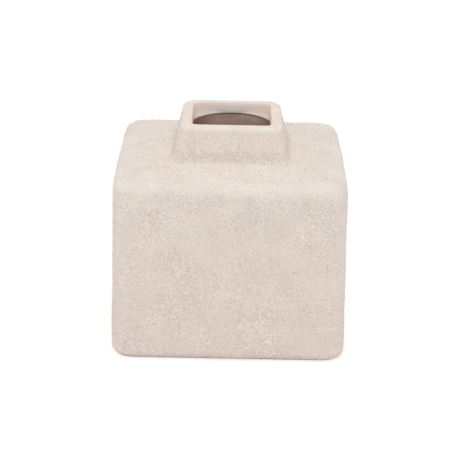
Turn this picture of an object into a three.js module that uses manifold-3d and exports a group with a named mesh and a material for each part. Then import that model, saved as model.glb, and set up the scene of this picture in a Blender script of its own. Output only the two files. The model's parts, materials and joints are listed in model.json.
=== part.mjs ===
// Slab-built stoneware cube vase, in millimetres.
// +Z is up, the front faces -Y, and the origin is under the middle of the base.

import * as THREE from 'three';
import { mergeVertices } from 'three/addons/utils/BufferGeometryUtils.js';
import Module from 'manifold-3d';

const wasm = await Module();
wasm.setup();

// Body
const baseWidth = 152;
const shoulderWidth = 149;
const bodyHeight = 117.6;
const sideBow = 0.8;
const bodyCornerRadius = 14.5;
const bottomEdgeRadius = 5;
const shoulderEdgeRadius = 8;

// Slabs of the body
const wallThickness = 8;
const baseThickness = 8;
const shoulderThickness = 7.5;
const shoulderRise = 3.2;
const shoulderHoleWidth = 54;
const shoulderHoleCornerRadius = 4;

// Neck
const neckFootWidth = 75;
const rimWidth = 64;
const neckHeight = 21.8;
const neckCornerRadius = 9;
const neckStripThickness = 8;

// Mouth
const lipHeight = 7;
const mouthPlateThickness = 9;
const mouthHoleDiameter = 52;
const mouthHoleEdgeRadius = 1;
const mouthWidth = 50;
const mouthCornerRadius = 4;
const rimOuterRadius = 3;
const rimInnerRadius = 1.8;

// Clay coils pressed into corners: the finger's radius, and how far its curve runs into the slabs
const neckCoilRadius = 5.5;
const innerCoilRadius = 14;
const coilOverrun = 0.6;

// Slip film between two joined faces
const slipFilm = 0.3;

// Smallest radius of a sharp inner corner
const sharpCornerRadius = 0.5;

// Fineness of the round corners and edges
const cornerSteps = 8;
const sideSteps = 8;
const edgeSteps = 6;
const holeSteps = 64;

// Stoneware colours
const sandyClay = '#dccfc6';
const smoothClay = '#ece1d8';
const bareClay = '#b59a8a';

const shoulderBottom = bodyHeight - shoulderThickness;
const neckFoot = bodyHeight + shoulderRise;
const rimTop = neckFoot + neckHeight;
const plateTop = rimTop - lipHeight;
const plateBottom = plateTop - mouthPlateThickness;

// Boolean solids

function toSolid(geometry) {
  const bare = geometry.clone();
  bare.deleteAttribute('normal');
  bare.deleteAttribute('uv');
  const merged = mergeVertices(bare, 1e-4);
  const vertProperties = new Float32Array(merged.attributes.position.array);
  const triVerts = new Uint32Array(merged.index.array);
  return new wasm.Manifold(new wasm.Mesh({ numProp: 3, vertProperties, triVerts }));
}

function toGeometry(solid) {
  const mesh = solid.getMesh();
  const geometry = new THREE.BufferGeometry();
  geometry.setAttribute('position', new THREE.BufferAttribute(new Float32Array(mesh.vertProperties), 3));
  geometry.setIndex(new THREE.BufferAttribute(new Uint32Array(mesh.triVerts), 1));
  geometry.computeVertexNormals();
  return geometry;
}

// Rounded square outline in plan; where a bow is given, each side swells by it up to the full width

function squareOutline({ width, cornerRadius, bow }) {
  const flat = width / 2 - (bow ?? 0);
  const side = flat - cornerRadius;
  const quarterPoints = [];
  for (let step = 0; step <= cornerSteps; step += 1) {
    const angle = step / cornerSteps * Math.PI / 2;
    const alongX = side + cornerRadius * Math.cos(angle);
    const alongY = side + cornerRadius * Math.sin(angle);
    quarterPoints.push(new THREE.Vector2(alongX, alongY));
  }
  if (bow !== undefined) {
    for (let step = 1; step < sideSteps; step += 1) {
      const along = 1 - 2 * step / sideSteps;
      quarterPoints.push(new THREE.Vector2(side * along, flat + bow * (1 - along ** 2)));
    }
  }
  const middle = new THREE.Vector2();
  return [0, 1, 2, 3].flatMap((quarter) => {
    const turn = quarter * Math.PI / 2;
    return quarterPoints.map((point) => point.clone().rotateAround(middle, turn));
  });
}

// Closed solid through a stack of rounded squares, lowest first; a level is { z, width, cornerRadius, bow }

function stack(levels) {
  const outlines = levels.map(squareOutline);
  const count = outlines[0].length;
  const positions = [];
  outlines.forEach((outline, index) => {
    outline.forEach((point) => positions.push(point.x, point.y, levels[index].z));
  });
  const faces = [];
  for (let row = 0; row < levels.length - 1; row += 1) {
    for (let column = 0; column < count; column += 1) {
      const next = (column + 1) % count;
      const a = row * count + column;
      const b = row * count + next;
      faces.push(a, b, b + count, a, b + count, a + count);
    }
  }
  const last = (levels.length - 1) * count;
  THREE.ShapeUtils.triangulateShape(outlines[0], []).forEach(([a, b, c]) => {
    faces.push(a, c, b);
  });
  THREE.ShapeUtils.triangulateShape(outlines[levels.length - 1], []).forEach(([a, b, c]) => {
    faces.push(last + a, last + b, last + c);
  });
  const geometry = new THREE.BufferGeometry();
  geometry.setAttribute('position', new THREE.Float32BufferAttribute(positions, 3));
  geometry.setIndex(faces);
  return toSolid(geometry);
}

// Flat slice of space between two heights

function slice(bottom, top) {
  const side = baseWidth * 2;
  const box = new THREE.BoxGeometry(side, side, top - bottom);
  box.translate(0, 0, (bottom + top) / 2);
  return toSolid(box);
}

// Wedge of space in front of both diagonals, held back by half a slip film on each mitre

function frontWedge() {
  const reach = baseWidth;
  const setBack = slipFilm / 2 * Math.SQRT2;
  const outline = new THREE.Shape();
  outline.moveTo(0, -setBack);
  outline.lineTo(-reach, -reach - setBack);
  outline.lineTo(reach, -reach - setBack);
  outline.closePath();
  const wedge = new THREE.ExtrudeGeometry(outline, { depth: rimTop * 2, bevelEnabled: false });
  return toSolid(wedge);
}

// Widths that lean with the walls

function bodyWidth(z) {
  return THREE.MathUtils.lerp(baseWidth, shoulderWidth, z / bodyHeight);
}

function neckWidth(z) {
  return THREE.MathUtils.lerp(neckFootWidth, rimWidth, (z - neckFoot) / neckHeight);
}

function quarterAngles() {
  return Array.from({ length: edgeSteps + 1 }, (_, step) => step / edgeSteps * Math.PI / 2);
}

// How far a clay coil stands out along each of the two faces that it joins

function coilLeg(fingerRadius) {
  const centreRise = fingerRadius - coilOverrun;
  return centreRise - Math.sqrt(fingerRadius ** 2 - centreRise ** 2);
}

// Outer form of the body, with both edges rounded and the shoulder rising to a level seat for the neck

function bodyForm() {
  const bottom = quarterAngles().map((angle) => {
    const inset = bottomEdgeRadius * (1 - Math.sin(angle));
    const z = bottomEdgeRadius * (1 - Math.cos(angle));
    return { z, width: bodyWidth(z) - 2 * inset, cornerRadius: bodyCornerRadius - inset, bow: sideBow };
  });
  const top = quarterAngles().map((angle) => {
    const inset = shoulderEdgeRadius * (1 - Math.cos(angle));
    const z = bodyHeight - shoulderEdgeRadius * (1 - Math.sin(angle));
    return { z, width: bodyWidth(z) - 2 * inset, cornerRadius: bodyCornerRadius - inset, bow: sideBow };
  });
  const seatWidth = neckFootWidth + 2 * (slipFilm + coilLeg(neckCoilRadius));
  const seat = { z: neckFoot, width: seatWidth, cornerRadius: neckCornerRadius, bow: 0 };
  return stack([...bottom, ...top, seat]);
}

// Outer form of the neck and lip, with the rim rounded

function neckForm() {
  const foot = { z: neckFoot, width: neckFootWidth, cornerRadius: neckCornerRadius };
  const rim = quarterAngles().map((angle) => {
    const inset = rimOuterRadius * (1 - Math.cos(angle));
    const z = rimTop - rimOuterRadius * (1 - Math.sin(angle));
    return { z, width: neckWidth(z) - 2 * inset, cornerRadius: neckCornerRadius - inset };
  });
  return stack([foot, ...rim]);
}

// Space inside the four walls, drawn in by a margin, from one height to another

function bodySpace(bottom, top, margin) {
  const levels = [bottom, top].map((z) => ({
    z,
    width: bodyWidth(z) - 2 * (wallThickness + margin),
    cornerRadius: sharpCornerRadius,
  }));
  return stack(levels);
}

// Space inside the neck strips

function neckSpace() {
  const levels = [neckFoot, plateTop].map((z) => ({
    z,
    width: neckWidth(z) - 2 * neckStripThickness,
    cornerRadius: sharpCornerRadius,
  }));
  return stack(levels);
}

// Square mouth with a flare that rounds the inner edge of the lip

function mouthSpace() {
  const straight = { z: plateTop - slipFilm, width: mouthWidth, cornerRadius: mouthCornerRadius };
  const flare = quarterAngles().map((angle) => {
    const outset = rimInnerRadius * (1 - Math.cos(angle));
    const z = rimTop - rimInnerRadius * (1 - Math.sin(angle));
    return { z, width: mouthWidth + 2 * outset, cornerRadius: mouthCornerRadius + outset };
  });
  const above = { ...flare[flare.length - 1], z: rimTop + slipFilm };
  return stack([straight, ...flare, above]);
}

// Round hole of the mouth plate, with its upper edge rounded

function mouthHole() {
  const radius = mouthHoleDiameter / 2;
  const edge = quarterAngles().map((angle) => {
    const outset = mouthHoleEdgeRadius * (1 - Math.cos(angle));
    const z = plateTop - mouthHoleEdgeRadius * (1 - Math.sin(angle));
    return new THREE.Vector2(radius + outset, z);
  });
  const low = plateBottom - slipFilm;
  const high = plateTop + slipFilm;
  const profile = [new THREE.Vector2(0, low), new THREE.Vector2(radius, low), ...edge];
  profile.push(new THREE.Vector2(radius + mouthHoleEdgeRadius, high), new THREE.Vector2(0, high));
  const turned = new THREE.LatheGeometry(profile, holeSteps);
  turned.rotateX(Math.PI / 2);
  return toSolid(turned);
}

// Room left after the corners of the body space are smoothed with a finger

function smoothedRoom(floor, ceiling) {
  const low = floor - coilOverrun;
  const high = ceiling + coilOverrun;
  const roomWidth = (z) => bodyWidth(z) - 2 * (wallThickness + slipFilm - coilOverrun);
  const minimum = sharpCornerRadius;
  const bottom = quarterAngles().map((angle) => {
    const inset = innerCoilRadius * (1 - Math.sin(angle));
    const z = low + innerCoilRadius * (1 - Math.cos(angle));
    return { z, width: roomWidth(z) - 2 * inset, cornerRadius: Math.max(innerCoilRadius - inset, minimum) };
  });
  const top = quarterAngles().map((angle) => {
    const inset = innerCoilRadius * (1 - Math.cos(angle));
    const z = high - innerCoilRadius * (1 - Math.sin(angle));
    return { z, width: roomWidth(z) - 2 * inset, cornerRadius: Math.max(innerCoilRadius - inset, minimum) };
  });
  return stack([...bottom, ...top]);
}

// Concave ring round the foot of the neck

function neckCoil() {
  const seat = neckFoot + slipFilm;
  const centreRise = neckCoilRadius - coilOverrun;
  const leg = coilLeg(neckCoilRadius);
  const levels = [];
  for (let step = 0; step <= edgeSteps; step += 1) {
    const z = seat + leg * step / edgeSteps;
    const fall = seat + centreRise - z;
    const outset = slipFilm + centreRise - Math.sqrt(neckCoilRadius ** 2 - fall ** 2);
    levels.push({ z, width: neckWidth(z) + 2 * outset, cornerRadius: neckCornerRadius + outset });
  }
  const hole = [seat - slipFilm, seat + leg + slipFilm].map((z) => ({
    z,
    width: neckWidth(z) + 2 * slipFilm,
    cornerRadius: neckCornerRadius + slipFilm,
  }));
  return stack(levels).subtract(stack(hole));
}

// Pieces

const vase = new THREE.Group();
vase.name = 'cube_vase';

function addPiece(name, solid, color, roughness) {
  const material = new THREE.MeshStandardMaterial({ color, roughness, metalness: 0 });
  const mesh = new THREE.Mesh(toGeometry(solid), material);
  mesh.name = name;
  vase.add(mesh);
}

// Four mitred pieces of a square ring, front first and then round the right side

function addMitred(names, ring, color, roughness) {
  const front = ring.intersect(frontWedge());
  names.forEach((name, quarter) => addPiece(name, front.rotate([0, 0, quarter * 90]), color, roughness));
}

const body = bodyForm();
const neck = neckForm();

addPiece('base_slab', body.intersect(slice(0, baseThickness)), sandyClay, 0.95);

const wallFoot = baseThickness + slipFilm;
const wallHead = shoulderBottom - slipFilm;
const wallRing = body
  .intersect(slice(wallFoot, wallHead))
  .subtract(bodySpace(baseThickness, shoulderBottom, 0));
addMitred(['front_wall', 'right_wall', 'back_wall', 'left_wall'], wallRing, sandyClay, 0.95);

const shoulderHole = stack([shoulderBottom - slipFilm, neckFoot + slipFilm].map((z) => ({
  z,
  width: shoulderHoleWidth,
  cornerRadius: shoulderHoleCornerRadius,
})));
const shoulder = body.intersect(slice(shoulderBottom, neckFoot)).subtract(shoulderHole);
addPiece('shoulder_slab', shoulder, sandyClay, 0.95);

const neckRing = neck
  .intersect(slice(neckFoot + slipFilm, plateBottom - slipFilm))
  .subtract(neckSpace());
addMitred(['neck_front', 'neck_right', 'neck_back', 'neck_left'], neckRing, sandyClay, 0.9);

const mouthPlate = neck.intersect(slice(plateBottom, plateTop)).subtract(mouthHole());
addPiece('mouth_plate', mouthPlate, smoothClay, 0.8);

const lipRing = neck
  .intersect(slice(plateTop + slipFilm, rimTop))
  .subtract(mouthSpace());
addMitred(['lip_front', 'lip_right', 'lip_back', 'lip_left'], lipRing, smoothClay, 0.7);

addPiece('neck_coil', neckCoil(), sandyClay, 0.95);

const floorHeight = baseThickness + slipFilm;
const ceilingHeight = shoulderBottom - slipFilm;
const smoothed = smoothedRoom(floorHeight, ceilingHeight);
const coils = bodySpace(floorHeight, ceilingHeight, slipFilm).subtract(smoothed);
const floorCoilTop = floorHeight + innerCoilRadius;
const ceilingCoilBottom = ceilingHeight - innerCoilRadius;
addPiece('floor_coil', coils.intersect(slice(0, floorCoilTop)), bareClay, 0.95);
addPiece('ceiling_coil', coils.intersect(slice(ceilingCoilBottom, bodyHeight)), bareClay, 0.95);

const uprightCoils = coils.intersect(slice(floorCoilTop + slipFilm, ceilingCoilBottom - slipFilm));
const cornerNames = ['corner_coil_front_left', 'corner_coil_front_right'];
cornerNames.push('corner_coil_back_right', 'corner_coil_back_left');
const cornerBox = new THREE.BoxGeometry(baseWidth, baseWidth, rimTop * 2);
cornerBox.translate(-baseWidth / 2, -baseWidth / 2, 0);
const frontLeftCoil = uprightCoils.intersect(toSolid(cornerBox));
cornerNames.forEach((name, quarter) => {
  addPiece(name, frontLeftCoil.rotate([0, 0, quarter * 90]), bareClay, 0.95);
});

export default vase;
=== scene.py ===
import json
import math

import bpy
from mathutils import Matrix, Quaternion, Vector


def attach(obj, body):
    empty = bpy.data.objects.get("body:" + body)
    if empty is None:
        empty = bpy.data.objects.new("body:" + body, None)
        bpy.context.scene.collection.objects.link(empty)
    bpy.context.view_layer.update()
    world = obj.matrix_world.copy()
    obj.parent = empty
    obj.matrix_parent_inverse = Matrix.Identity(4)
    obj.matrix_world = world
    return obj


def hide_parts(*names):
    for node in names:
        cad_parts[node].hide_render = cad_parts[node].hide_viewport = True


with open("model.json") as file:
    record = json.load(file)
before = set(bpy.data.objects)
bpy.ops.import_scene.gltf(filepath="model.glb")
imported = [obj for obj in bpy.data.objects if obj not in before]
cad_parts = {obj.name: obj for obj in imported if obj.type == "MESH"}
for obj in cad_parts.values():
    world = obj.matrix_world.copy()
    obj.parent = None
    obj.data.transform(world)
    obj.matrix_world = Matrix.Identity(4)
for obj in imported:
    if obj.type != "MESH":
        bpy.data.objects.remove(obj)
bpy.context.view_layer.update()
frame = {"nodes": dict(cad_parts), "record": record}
print("frame loaded with", len(frame["nodes"]), "clay pieces")

mm = 0.001  # every size below is in millimetres


# selecting and shaping, as by hand

feel = {"level": 0.02, "upright": 4}  # heights this close are the same, and a taller edge stands upright


def focus(piece):
    if bpy.context.object and bpy.context.object.mode != "OBJECT":
        bpy.ops.object.mode_set(mode="OBJECT")
    bpy.ops.object.select_all(action="DESELECT")
    piece.select_set(True)
    bpy.context.view_layer.objects.active = piece


def pick(piece, kind, test):
    # leaves the piece in edit mode with the edges or faces that pass the test selected
    focus(piece)
    bpy.ops.object.mode_set(mode="EDIT")
    bpy.ops.mesh.select_mode(type=kind)
    bpy.ops.mesh.select_all(action="DESELECT")
    bpy.ops.object.mode_set(mode="OBJECT")
    corners = [corner.co / mm for corner in piece.data.vertices]
    parts = piece.data.edges if kind == "EDGE" else piece.data.polygons
    for part in parts:
        part.select = test([corners[i] for i in part.vertices])
    bpy.ops.object.mode_set(mode="EDIT")


def roundEdges(piece, radius, test, steps=8):
    pick(piece, "EDGE", test)
    bpy.ops.mesh.bevel(offset=radius * mm, offset_type="OFFSET", segments=steps, affect="EDGES")
    bpy.ops.object.mode_set(mode="OBJECT")


def upright(ends):
    return abs(ends[0].z - ends[1].z) > feel["upright"]


def atHeight(height):
    return lambda ends: all(abs(end.z - height) < feel["level"] for end in ends)


def reach(point):
    # distance from the axis as a square has it
    return max(abs(point.x), abs(point.y))


def limit(value):
    return min(1.0, max(0.0, value))


def addBlock(name, lowWidth, highWidth, low, high):
    # a cube at its size and place, with its top face drawn in
    bpy.ops.object.select_all(action="DESELECT")
    size = (lowWidth * mm, lowWidth * mm, (high - low) * mm)
    bpy.ops.mesh.primitive_cube_add(size=1, location=(0, 0, (low + high) / 2 * mm), scale=size)
    block = bpy.context.object
    block.name = name
    bpy.ops.object.transform_apply(location=True, rotation=True, scale=True)
    pick(block, "FACE", atHeight(high))
    shrink = highWidth / lowWidth
    bpy.ops.transform.resize(value=(shrink, shrink, 1))
    bpy.ops.object.mode_set(mode="OBJECT")
    return block


def extrudeUp(height):
    bpy.ops.mesh.extrude_region_move(TRANSFORM_OT_translate={"value": (0, 0, height * mm)})


def join(piece, other, operation, solver="EXACT"):
    focus(piece)
    boolean = piece.modifiers.new("join", "BOOLEAN")
    boolean.operation = operation
    boolean.solver = solver
    boolean.object = other
    bpy.ops.object.modifier_apply(modifier=boolean.name)
    bpy.data.objects.remove(other, do_unlink=True)


# the raw form: body, neck, lip and hollow, all still one lump

body = {
    "footWidth": 152, "shoulderWidth": 149, "height": 117.6, "rise": 3.2,
    "bow": 0.8, "bowReach": 60, "cornerRadius": 14.5, "bottomRadius": 5, "shoulderRadius": 8,
    "wall": 8, "floor": 8, "shoulder": 7.5,
}
neck = {
    "footWidth": 75, "rimWidth": 64, "height": 21.8, "cornerRadius": 9, "root": 20,
    "wall": 8, "throatWidth": 54, "footFillet": 1.9, "footReach": 39, "seatSpare": 1,
}
mouth = {
    "lipHeight": 7, "plate": 10.5, "holeRadius": 26, "holeDepth": 14, "holeSides": 128, "width": 50,
    "cornerRadius": 4, "outerRadius": 3, "innerRadius": 1.8, "roundSteps": 6,
}
past = {"ceiling": 6, "throat": 1, "plate": 0.1, "rim": 8}  # how far the cutters run on into the open
neckFoot = body["height"] + body["rise"]
rimTop = neckFoot + neck["height"]
plateTop = rimTop - mouth["lipHeight"]
plateBottom = plateTop - mouth["plate"]
ceiling = body["height"] - body["shoulder"]


def bodyWidth(z):
    return body["footWidth"] + (body["shoulderWidth"] - body["footWidth"]) * z / body["height"]


def neckWidth(z):
    return neck["footWidth"] + (neck["rimWidth"] - neck["footWidth"]) * (z - neckFoot) / neck["height"]


def atNeckFoot(ends):
    return atHeight(neckFoot)(ends) and all(reach(end) < neck["footReach"] for end in ends)


def formBody():
    bows = 2 * body["bow"]  # straight sides for now, they swell once they have a net
    topWidth = body["shoulderWidth"] - bows
    block = addBlock("rawForm", body["footWidth"] - bows, topWidth, 0, body["height"])
    roundEdges(block, body["cornerRadius"], upright)
    roundEdges(block, body["bottomRadius"], atHeight(0))
    roundEdges(block, body["shoulderRadius"], atHeight(body["height"]))
    seatWidth = neck["footWidth"] + 2 * neck["footFillet"] + neck["seatSpare"]
    shrink = seatWidth / (topWidth - 2 * body["shoulderRadius"])
    pick(block, "FACE", atHeight(body["height"]))  # the shoulder rises to a level seat under the neck
    extrudeUp(body["rise"])
    bpy.ops.transform.resize(value=(shrink, shrink, 1))
    bpy.ops.object.mode_set(mode="OBJECT")
    return block


def formNeck():
    root = neckFoot - neck["root"]  # runs down into the body
    block = addBlock("rawNeck", neckWidth(root), neckWidth(rimTop), root, rimTop)
    roundEdges(block, neck["cornerRadius"], upright)
    roundEdges(block, mouth["outerRadius"], atHeight(rimTop), mouth["roundSteps"])
    return block


def formHollow():
    # the room for water, the throat, the neck space, the round hole and the square mouth
    inset = 2 * body["wall"]
    low, high = body["floor"], ceiling
    room = addBlock("room", bodyWidth(low) - inset, bodyWidth(high) - inset, low, high)
    low, high = ceiling - past["ceiling"], neckFoot + past["throat"]
    throat = addBlock("throat", neck["throatWidth"], neck["throatWidth"], low, high)
    roundEdges(throat, mouth["cornerRadius"], upright)
    inset = 2 * neck["wall"]
    low, high = neckFoot, plateBottom
    space = addBlock("space", neckWidth(low) - inset, neckWidth(high) - inset, low, high)
    bpy.ops.object.select_all(action="DESELECT")
    depth = mouth["holeDepth"]
    bpy.ops.mesh.primitive_cylinder_add(vertices=mouth["holeSides"], radius=mouth["holeRadius"] * mm,
                                        depth=depth * mm, location=(0, 0, (plateTop - depth / 2) * mm))
    hole = bpy.context.object
    bpy.ops.object.transform_apply(location=True, rotation=True, scale=True)
    return [room, throat, space, hole, formMouth()]


def formMouth():
    # a square column that flares at the top, so the inner edge of the lip comes out round
    radius = mouth["innerRadius"]
    width, height = mouth["width"], rimTop - radius
    square = addBlock("square", width, width, plateTop - past["plate"], height)
    roundEdges(square, mouth["cornerRadius"], upright)
    pick(square, "FACE", atHeight(height))
    for turn in range(1, mouth["roundSteps"] + 1):
        angle = math.radians(90 * turn / mouth["roundSteps"])
        wider = mouth["width"] + 2 * radius * (1 - math.cos(angle))
        higher = rimTop - radius * (1 - math.sin(angle))
        extrudeUp(higher - height)
        bpy.ops.transform.resize(value=(wider / width, wider / width, 1))
        width, height = wider, higher
    extrudeUp(past["rim"])
    bpy.ops.object.mode_set(mode="OBJECT")
    return square


form = formBody()
join(form, formNeck(), "UNION")
roundEdges(form, neck["footFillet"], atNeckFoot, mouth["roundSteps"])
for hollow in formHollow():
    join(form, hollow, "DIFFERENCE")
print("raw form", len(form.data.polygons), "faces")


# the skin: an even net over the form, pushed in and out by the sand in the clay

skin = {  # at its middle value a pattern leaves the skin in place: most goes inward, so the size is kept
    "voxel": 0.8, "smoothing": 3, "footBare": 0.4,
    "wave": {"where": "grit", "pattern": "CLOUDS", "size": 42, "depth": 0.9, "middle": 0.75},
    "lump": {"where": "shoulder", "pattern": "CLOUDS", "size": 4.5, "depth": 0.6, "middle": 0.75},
    "grit": {"where": "grit", "pattern": "CLOUDS", "size": 2.2, "depth": 0.45, "middle": 0.75},
    "grain": {"where": "grit", "pattern": "VORONOI", "size": 2.6, "depth": -0.4, "middle": 0.2},
}
hollowWall = {"slack": 0.9, "bottom": 4, "top": ceiling + 1}  # what counts as the wall of the hollow
wipedLip = {"weight": 0.12, "below": 1, "beside": 2, "rim": 2, "fade": 4}  # smoothed with a wet finger
lumpEdge = {"drop": 9, "fade": 8}  # the lumps end this far below the shoulder


def inHollow(point):
    if point.z < hollowWall["top"]:
        inner = bodyWidth(point.z) / 2 - body["wall"]
        return point.z > hollowWall["bottom"] and reach(point) < inner + hollowWall["slack"]
    return point.z < plateTop and reach(point) < neckWidth(point.z) / 2 - neck["wall"] / 2


def gritWeight(point):
    # full on the outside, none in the hollow and underneath, little on the wiped rim
    if inHollow(point) or point.z < skin["footBare"]:
        return 0.0
    if point.z > plateTop - wipedLip["below"] and reach(point) < mouth["width"] / 2 + wipedLip["beside"]:
        return wipedLip["weight"]
    return min(1.0, max(wipedLip["weight"], (rimTop - wipedLip["rim"] - point.z) / wipedLip["fade"]))


def shoulderWeight(point):
    # full on the shoulder round the neck, fading over its edge
    if inHollow(point) or reach(point) < neck["footWidth"] / 2 + neck["footFillet"]:
        return 0.0
    return limit((point.z - body["height"] + lumpEdge["drop"]) / lumpEdge["fade"])


def bowWeight(point):
    # most at the middle of each wall, none at its upright corners, on the shoulder and underneath
    if inHollow(point) or reach(point) < body["bowReach"]:
        return 0.0
    along = min(abs(point.x), abs(point.y)) / (body["shoulderWidth"] / 2 - body["cornerRadius"])
    below = limit((body["height"] - point.z) / body["shoulderRadius"])
    above = min(1.0, point.z / body["bottomRadius"])
    return max(0.0, 1 - along ** 2) * below * above


def addWeights(piece, name, weigh):
    group = piece.vertex_groups.new(name=name)
    for corner in piece.data.vertices:
        group.add([corner.index], weigh(corner.co / mm), "REPLACE")


def pushSkin(piece, group, depth, layer=None):
    focus(piece)
    push = piece.modifiers.new("push", "DISPLACE")
    push.vertex_group = group
    push.strength = depth * mm
    push.mid_level = 0
    if layer:
        texture = bpy.data.textures.new(layer["pattern"].lower(), layer["pattern"])
        texture.noise_scale = layer["size"] * mm
        if layer["pattern"] == "CLOUDS":
            texture.noise_depth = 1  # one size of cloud
        push.texture = texture
        push.texture_coords = "LOCAL"
        push.mid_level = layer["middle"]
    bpy.ops.object.modifier_apply(modifier=push.name)


focus(form)
net = form.modifiers.new("net", "REMESH")
net.mode = "VOXEL"
net.voxel_size = skin["voxel"] * mm
bpy.ops.object.modifier_apply(modifier="net")
even = form.modifiers.new("even", "SMOOTH")  # narrow faces along the rim would fold over otherwise
even.iterations = skin["smoothing"]
bpy.ops.object.modifier_apply(modifier="even")
addWeights(form, "bow", bowWeight)
pushSkin(form, "bow", body["bow"])
addWeights(form, "grit", gritWeight)
addWeights(form, "shoulder", shoulderWeight)
for name in ("wave", "lump", "grit", "grain"):
    pushSkin(form, skin[name]["where"], skin[name]["depth"], skin[name])
bpy.ops.object.shade_smooth()
print("skin", len(form.data.polygons), "faces")


# the pieces: the skin is sliced along the slip joints

starts = {  # where each course begins, clear of the level faces inside
    "base": -5, "wall": body["floor"] + 0.8, "shoulder": ceiling - 0.7, "coil": neckFoot + 0.7,
    "neck": neckFoot + 3.1, "plate": plateTop - 8.8, "lip": plateTop + 0.6, "air": rimTop + 5,
}
slicer = {"width": 200, "turn": 0.7}  # turned off the net's own diagonal, where a cut is ragged
sides = {"front": (0, -1), "right": (1, 0), "back": (0, 1), "left": (-1, 0)}
wholeCourses = {
    "base_slab": "base", "shoulder_slab": "shoulder", "neck_coil": "coil", "mouth_plate": "plate",
}
quarteredCourses = {"wall": "%s_wall", "neck": "neck_%s", "lip": "lip_%s"}


def copyOf(source, name):
    focus(source)
    bpy.ops.object.duplicate()
    piece = bpy.context.object
    piece.name = name
    return piece


def cutCourse(name):
    piece = copyOf(form, name + "Course")
    following = list(starts)[list(starts).index(name) + 1]
    block = addBlock("slice", slicer["width"], slicer["width"], starts[name], starts[following])
    join(piece, block, "INTERSECT", "MANIFOLD")
    return piece


def cutSide(course, side, name):
    # a block on edge, with one upright edge on the axis, leaves a quarter of the ring
    piece = copyOf(course, name)
    width = slicer["width"] * mm
    place = [way * width / math.sqrt(2) for way in sides[side]]
    bpy.ops.object.select_all(action="DESELECT")
    bpy.ops.mesh.primitive_cube_add(size=1, location=(*place, 0), rotation=(0, 0, math.pi / 4),
                                    scale=(width, width, 1))
    wedge = bpy.context.object
    bpy.ops.object.transform_apply(location=True, rotation=True, scale=True)
    wedge.rotation_euler.z = math.radians(slicer["turn"])
    bpy.ops.object.transform_apply(location=True, rotation=True, scale=True)
    join(piece, wedge, "INTERSECT", "MANIFOLD")
    return piece


shown = {}
for node, course in wholeCourses.items():
    shown[node] = cutCourse(course)
for course, label in quarteredCourses.items():
    ring = cutCourse(course)
    for side in sides:
        shown[label % side] = cutSide(ring, side, side + course.title())
    bpy.data.objects.remove(ring, do_unlink=True)
for piece in shown.values():
    focus(piece)
    bpy.ops.object.shade_smooth()
    borrow = piece.modifiers.new("borrow", "DATA_TRANSFER")  # the uncut skin's shading, so no seam shows
    borrow.object = form
    borrow.use_loop_data = True
    borrow.data_types_loops = {"CUSTOM_NORMAL"}
    borrow.loop_mapping = "POLYINTERP_NEAREST"
    bpy.ops.object.modifier_apply(modifier="borrow")
bpy.data.objects.remove(form, do_unlink=True)
print("sliced into", len(shown), "pieces")


# shader maths on sockets

class Wire:
    def __init__(self, tree, socket=None):
        self.tree = tree
        self.socket = socket

    def node(self, kind, settings=None, values=None, out=0):
        made = self.tree.nodes.new(kind)
        for key, value in (settings or {}).items():
            if key == "stops":
                ramp = made.color_ramp
                while len(ramp.elements) < len(value):
                    ramp.elements.new(0.5)
                for element, (place, shade) in zip(ramp.elements, value):
                    element.position = place
                    element.color = shade
            else:
                setattr(made, key, value)
        for key, value in (values or {}).items():
            if isinstance(value, Wire):
                self.tree.links.new(value.socket, made.inputs[key])
            else:
                made.inputs[key].default_value = value
        return Wire(self.tree, made.outputs[out])

    def maths(self, operation, first, second=None):
        values = {0: first} if second is None else {0: first, 1: second}
        return self.node("ShaderNodeMath", {"operation": operation}, values)

    def __add__(self, other):
        return self.maths("ADD", self, other)

    def __radd__(self, other):
        return self.maths("ADD", other, self)

    def __sub__(self, other):
        return self.maths("SUBTRACT", self, other)

    def __rsub__(self, other):
        return self.maths("SUBTRACT", other, self)

    def __mul__(self, other):
        return self.maths("MULTIPLY", self, other)

    def __rmul__(self, other):
        return self.maths("MULTIPLY", other, self)

    def __abs__(self):
        return self.maths("ABSOLUTE", self)

    def __lt__(self, other):
        return self.maths("LESS_THAN", self, other)

    def __gt__(self, other):
        return self.maths("GREATER_THAN", self, other)

    def larger(self, other):
        return self.maths("MAXIMUM", self, other)

    def blend(self, low, high):
        # low where this is 0, high where it is 1
        return self.node("ShaderNodeMix", {"data_type": "RGBA"}, {0: self, 6: low, 7: high}, 2)

    def axis(self, letter):
        return self.node("ShaderNodeSeparateXYZ", None, {0: self}, letter)

    def length(self):
        return self.node("ShaderNodeVectorMath", {"operation": "LENGTH"}, {0: self}, "Value")

    def noise(self, scale, detail, roughness):
        return self.node("ShaderNodeTexNoise", None,
                         {"Vector": self, "Scale": scale, "Detail": detail, "Roughness": roughness})

    def ramp(self, stops):
        # a value led through stops of place and value
        greys = [(place, (value, value, value, 1)) for place, value in stops]
        return self.node("ShaderNodeValToRGB", {"stops": greys}, {0: self})

    def between(self, low, high):
        # 0 up to the low value, 1 from the high one
        return self.ramp(((low, 0), (high, 1)))

    def fade(self, start, over):
        # 0 up to the start, 1 from so many millimetres past it
        return ((self - start * mm) * (1 / (over * mm))).between(0, 1)

    def eye(self):
        # 1 where the camera looks straight, by reflection or through glass
        rays = [self.node("ShaderNodeLightPath", None, None, "Is %s Ray" % way)
                for way in ("Camera", "Glossy", "Transmission")]
        return rays[0].larger(rays[1]).larger(rays[2])


def tone(red, green, blue):
    # a colour as read off a screen
    straight = []
    for level in (red, green, blue):
        level /= 255
        straight.append(level / 12.92 if level <= 0.04045 else ((level + 0.055) / 1.055) ** 2.4)
    return (*straight, 1)


def startMaterial(name):
    material = bpy.data.materials.new(name)
    material.use_nodes = True
    tree = material.node_tree
    shader = next(node for node in tree.nodes if node.type == "BSDF_PRINCIPLED")
    place = Wire(tree).node("ShaderNodeTexCoord", None, None, "Object")
    return material, shader, place


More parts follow.
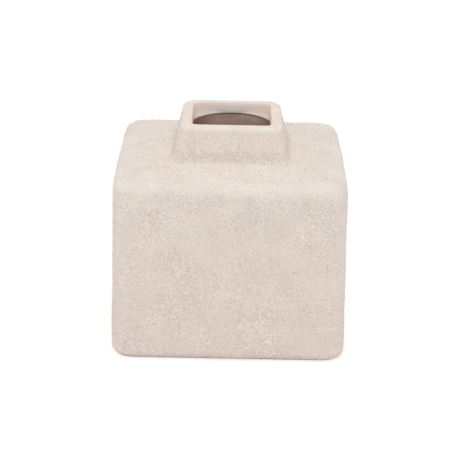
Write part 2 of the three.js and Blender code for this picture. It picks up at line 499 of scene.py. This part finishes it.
def feed(shader, socket, wire):
    wire.tree.links.new(wire.socket, shader.inputs[socket])


def addBump(shader, relief, finish):
    values = {"Strength": finish["bump"], "Distance": finish["relief"] * mm, "Height": relief}
    feed(shader, "Normal", relief.node("ShaderNodeBump", None, values))


def heightAndSpread(place):
    # height above the table, and distance from the axis as a square has it
    return place.axis("Z"), abs(place.axis("X")).larger(abs(place.axis("Y")))


# sandy stoneware outside

sandyClay = {
    "pink": tone(229, 210, 202), "beige": tone(225, 217, 207), "main": tone(225, 212, 204),
    # creaseShade: painted shade for the crease at the neck's foot
    "dim": tone(216, 203, 195), "creaseShade": tone(206, 190, 176), "pit": tone(176, 160, 151),
    "sand": tone(243, 235, 228), "rough": 0.92, "bump": 0.5, "relief": 0.4, "shine": 0.2,
    "paler": ((0, 0), (60, 0.17), (100, 0.36), (114, 0.85), (121.4, 0.85), (123, 0.25)),  # by height
    "thinnest": 0.4, "fineRelief": 0.6,
}
patterns = {  # noise by scale, detail and roughness, or cells by scale, with where it shows and how much
    "blotch": {"noise": (100, 3, 0.6), "span": (0.36, 0.64), "share": 0.6},
    "main": {"noise": (150, 3, 0.6), "span": (0.3, 0.7), "share": 0.6},
    "dim": {"noise": (62, 2, 0.5), "span": (0.4, 0.6), "share": 0.5},
    "thick": {"noise": (75, 3, 0.6), "span": (0.38, 0.62), "share": 0.55},
    "fine": {"noise": (1050, 2, 0.5), "span": (0.5, 0.7), "share": 0.65},
    "grains": {"noise": (780, 2, 0.5), "span": (0.5, 0.68), "share": 0.75},
    "pits": {"cells": 490, "span": (0.12, 0.3), "share": 0.62},
}
rubbedEdge = {"height": 106, "over": 8, "reach": 62, "share": 0.45}  # less sand on the shoulder's edge
# painted shade: the neck is painted darker and warmer near its foot, where the crease lies in shade
footCreaseShade = {"height": neckFoot + 0.9, "over": 8.1, "low": neckFoot - 0.2, "reach": 40, "share": 0.5}
roomMask = {"reach": 68.5, "low": 4, "high": ceiling + 0.4, "neckReach": 30}  # bare clay inside, painted darker as shade


def patternOf(place, name):
    pattern = patterns[name]
    if "cells" in pattern:
        return place.node("ShaderNodeTexVoronoi", None, {"Vector": place, "Scale": pattern["cells"]})
    return place.noise(*pattern["noise"])


def showing(pattern, name):
    return pattern.between(*patterns[name]["span"]) * patterns[name]["share"]


def sandColour(place, height, spread):
    # blotches, a painted shade in the crease at the neck's foot, then light sand grains and dark pits,
    # thick in some places and thin in others
    blotch = showing(patternOf(place, "blotch"), "blotch")
    paler = (height * (1 / (rimTop * mm))).ramp([(z / rimTop, beige) for z, beige in sandyClay["paler"]])
    colour = (blotch + paler).blend(sandyClay["pink"], sandyClay["beige"])
    for name in ("main", "dim"):
        colour = showing(patternOf(place, name), name).blend(colour, sandyClay[name])
    # painted shade in the crease at the neck's foot
    creaseShade = 1 - height.fade(footCreaseShade["height"], footCreaseShade["over"])
    creaseShade = creaseShade * (height > footCreaseShade["low"] * mm) * (spread < footCreaseShade["reach"] * mm)
    colour = (creaseShade * footCreaseShade["share"]).blend(colour, sandyClay["creaseShade"])
    rubbed = height.fade(rubbedEdge["height"], rubbedEdge["over"]) * (spread > rubbedEdge["reach"] * mm)
    thick = showing(patternOf(place, "thick"), "thick") + sandyClay["thinnest"]
    thick = thick * (1 - rubbed * rubbedEdge["share"])
    fine, grains, pits = [patternOf(place, name) for name in ("fine", "grains", "pits")]
    colour = (showing(fine, "fine") * thick).blend(colour, sandyClay["pit"])
    colour = (showing(grains, "grains") * thick).blend(colour, sandyClay["sand"])
    inPit = patterns["pits"]["share"] - showing(pits, "pits")
    colour = (inPit * thick).blend(colour, sandyClay["pit"])
    return colour, grains - fine * sandyClay["fineRelief"]


def makeSandyClay():
    material, shader, place = startMaterial("sandyClay")
    height, spread = heightAndSpread(place)
    inRoom = (spread < roomMask["reach"] * mm) * (height > roomMask["low"] * mm)
    inRoom = inRoom * (height < roomMask["high"] * mm)
    inNeck = (spread < roomMask["neckReach"] * mm) * (height > ceiling * mm)
    inside = inRoom.larger(inNeck)
    colour, relief = sandColour(place, height, spread)
    feed(shader, "Base Color", inside.blend(colour, bareColourAndShade(place)))
    feed(shader, "Roughness", sandyClay["rough"] - inside * (sandyClay["rough"] - bareClay["rough"]))
    addBump(shader, relief, sandyClay)
    shader.inputs["Specular IOR Level"].default_value = sandyClay["shine"]
    return material


# bare clay in the hollow: the streaks are its own, its darker, browner tone is painted shade

bareClay = {
    # main and dark are the clay painted darker and browner than outside, as painted shade of the hollow
    "main": tone(194, 171, 161), "dark": tone(178, 150, 138), "side": tone(142, 110, 96),
    "rough": 0.6, "bump": 0.3, "relief": 0.8,
    "streaks": (60, 4, 0.5), "stretch": (1, 1, 5), "span": (0.35, 0.7),
    "finger": (140, 3, 0.5), "fingerRough": 0.3,
    # painted shade: the hollow is painted darker to the left and right of the middle, where less light
    # reaches
    "middle": 2.2, "sideShadeStart": 11.7, "sideShadeOver": 14.3,  # darker to the left and right of the middle
}


def bareColourAndShade(place):
    stretched = place.node("ShaderNodeMapping", None, {"Vector": place, "Scale": bareClay["stretch"]})
    streaks = stretched.noise(*bareClay["streaks"]).between(*bareClay["span"])
    colour = streaks.blend(bareClay["main"], bareClay["dark"])
    across = abs(place.axis("X") - bareClay["middle"] * mm)
    # painted shade to the left and right of the middle
    return across.fade(bareClay["sideShadeStart"], bareClay["sideShadeOver"]).blend(colour, bareClay["side"])


def makeBareClay():
    material, shader, place = startMaterial("bareClay")
    finger = place.noise(*bareClay["finger"])
    feed(shader, "Base Color", bareColourAndShade(place))
    feed(shader, "Roughness", bareClay["rough"] + (finger - 0.5) * bareClay["fingerRough"])
    addBump(shader, finger, bareClay)
    return material


# clay wiped smooth at the lip

smoothClay = {
    # ledgeShade: painted shade on the ledge at the foot of the lip's inner wall
    "main": tone(225, 215, 206), "dull": tone(220, 208, 199), "ledgeShade": tone(206, 191, 182),
    # wall and corner: the lip's inner wall painted lighter than the clay as painted light, less so
    # toward its corners as painted shade
    "wall": tone(247, 235, 225), "corner": tone(232, 218, 209), "edge": tone(140, 116, 106),
    # edge: painted shadow in a thin band under the plate's edge
    "rough": 0.75, "bump": 0.12, "relief": 0.4, "shine": 0.25,
    "smear": (70, 4, 0.6), "span": (0.4, 0.7), "smearRough": 0.2,
}
holeMask = {"reach": 29, "top": plateTop - 0.45, "edge": plateTop - 1.7}  # with a painted shadow just under the plate's edge
sandMask = {"top": rimTop - 5, "over": 3, "rimReach": 29.5}  # sandy below, wiped at the rim
wallMask = {"reach": 25.6, "top": rimTop - 1.5, "ledgeShade": 2.5}  # the lip's inner wall, painted darker at its foot as shade on the ledge
wallMiddle = {"start": 3.6, "over": 9.6}  # no painted ledge shade there, where the plate has no ledge
# painted shade toward the inner corners of the lip
wallCornerShade = {"start": 4.8, "over": 14.4}


def lipWallLightAndShade(place, height):
    # painted light and shade: the wall is painted lighter in the middle and darker toward the corners,
    # with painted shade on the ledge at its foot
    across = abs(place.axis("X"))
    middle = 1 - across.fade(wallMiddle["start"], wallMiddle["over"])
    clear = height.fade(plateTop, wallMask["ledgeShade"]).larger(middle)
    corner = across.fade(wallCornerShade["start"], wallCornerShade["over"])
    return clear.blend(smoothClay["ledgeShade"], corner.blend(smoothClay["wall"], smoothClay["corner"]))


def makeSmoothClay():
    material, shader, place = startMaterial("smoothClay")
    height, spread = heightAndSpread(place)
    grit, relief = sandColour(place, height, spread)
    smear = place.noise(*smoothClay["smear"])
    wiped = smear.between(*smoothClay["span"]).blend(smoothClay["main"], smoothClay["dull"])
    onRim = height.fade(sandMask["top"], sandMask["over"]).larger(spread < sandMask["rimReach"] * mm)
    inLip = (spread < wallMask["reach"] * mm) * (height < wallMask["top"] * mm)
    colour = inLip.blend(onRim.blend(grit, wiped), lipWallLightAndShade(place, height))
    flat = place.node("ShaderNodeVectorMath", {"operation": "MULTIPLY"}, {0: place, 1: (1, 1, 0)})
    inHole = (height < holeMask["top"] * mm) * (flat.length() < holeMask["reach"] * mm)
    colour = inHole.blend(colour, bareColourAndShade(place))
    # painted shadow in a thin band just under the plate's edge
    edgeShadow = inHole * (height > holeMask["edge"] * mm)
    feed(shader, "Base Color", edgeShadow.blend(colour, smoothClay["edge"]))
    feed(shader, "Roughness", smoothClay["rough"] + (smear - 0.5) * smoothClay["smearRough"])
    addBump(shader, relief, smoothClay)
    shader.inputs["Specular IOR Level"].default_value = smoothClay["shine"]
    return material


finishes = {"sandy_clay": makeSandyClay(), "smooth_clay": makeSmoothClay(), "bare_clay": makeBareClay()}
slots = {entry["node"]: entry["material_slot"] for entry in frame["record"]["subparts"]}
for node, piece in shown.items():
    piece.data.materials.clear()
    piece.data.materials.append(finishes[slots[node]])
    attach(piece, "root")
    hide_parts(node)
for node, solid in frame["nodes"].items():
    solid.data.materials.clear()
    solid.data.materials.append(finishes[slots[node]])
print("finishes on", len(frame["nodes"]), "nodes")


# studio: white floor with a soft shadow, light from the front, above and both sides, camera of the photo

studio = {
    "floorSize": 8000, "floor": tone(236, 236, 235), "sky": 0.67, "lampAim": 70,
    "glow": 0.5, "white": 1.3, "shadowReach": 700, "shadowFade": 1500,  # the floor is whiter far off
}
lamps = {
    "front": {"power": 7.4, "size": 1200, "place": (0, -1400, 1150)},
    "top": {"power": 7.5, "size": 1400, "place": (0, 100, 1700)},
    "left": {"power": 3.3, "size": 900, "place": (-1550, -100, 450)},
    "right": {"power": 2.8, "size": 900, "place": (1550, -100, 450)},
}
camera = {  # focal length, frame, drop and pan in pixels of the photo, angles in degrees
    "elevation": 20.1, "distance": 1090, "aim": 71.3, "focal": 1637, "frame": 460,
    "drop": 14.2, "pan": 0.4, "roll": 1.1, "film": 36,
}


def makePaper():
    material, shader, place = startMaterial("paperFloor")
    shader.inputs["Base Color"].default_value = studio["floor"]
    shader.inputs["Roughness"].default_value = 1
    shader.inputs["Specular IOR Level"].default_value = 0
    white = place.node("ShaderNodeEmission", None, {"Strength": studio["white"]})
    lit = Wire(material.node_tree, shader.outputs[0])
    far = place.length().fade(studio["shadowReach"], studio["shadowFade"])
    glow = far * (1 - studio["glow"]) + studio["glow"]
    seen = lit.node("ShaderNodeMixShader", None, {0: lit.eye() * glow, 1: lit, 2: white})
    end = next(node for node in material.node_tree.nodes if node.type == "OUTPUT_MATERIAL")
    feed(end, "Surface", seen)
    return material


bpy.ops.object.select_all(action="DESELECT")
bpy.ops.mesh.primitive_plane_add(size=studio["floorSize"] * mm, location=(0, 0, 0))
floor = bpy.context.object
floor.name = "floor"
floor.data.materials.append(makePaper())

world = bpy.data.worlds.new("softRoom")
bpy.context.scene.world = world
world.use_nodes = True
sky = next(node for node in world.node_tree.nodes if node.type == "BACKGROUND")
sky.inputs["Color"].default_value = (1, 1, 1, 1)
feed(sky, "Strength", Wire(world.node_tree).eye() * (1 - studio["sky"]) + studio["sky"])

lampAim = Vector((0, 0, studio["lampAim"] * mm))
for name, lamp in lamps.items():
    bpy.ops.object.light_add(type="AREA", location=Vector(lamp["place"]) * mm)
    light = bpy.context.object
    light.name = name + "Lamp"
    light.data.energy = lamp["power"]
    light.data.size = lamp["size"] * mm
    light.rotation_euler = (lampAim - light.location).to_track_quat("-Z", "Y").to_euler()

lift = math.radians(camera["elevation"])
aim = Vector((0, 0, camera["aim"] * mm))
away = Vector((0, -math.cos(lift), math.sin(lift)))
bpy.ops.object.camera_add(location=aim + away * camera["distance"] * mm)
lens = bpy.context.object
lens.data.sensor_width = camera["film"]
lens.data.lens = camera["film"] * camera["focal"] / camera["frame"]
nod = Quaternion((1, 0, 0), -math.atan(camera["drop"] / camera["focal"]))
turn = Quaternion((0, 1, 0), -math.atan(camera["pan"] / camera["focal"]))
tilt = Quaternion((0, 0, 1), math.radians(camera["roll"]))
lens.rotation_euler = ((-away).to_track_quat("-Z", "Y") @ nod @ turn @ tilt).to_euler()
bpy.context.scene.camera = lens
bpy.context.scene.view_settings.view_transform = "Standard"
print("studio ready")
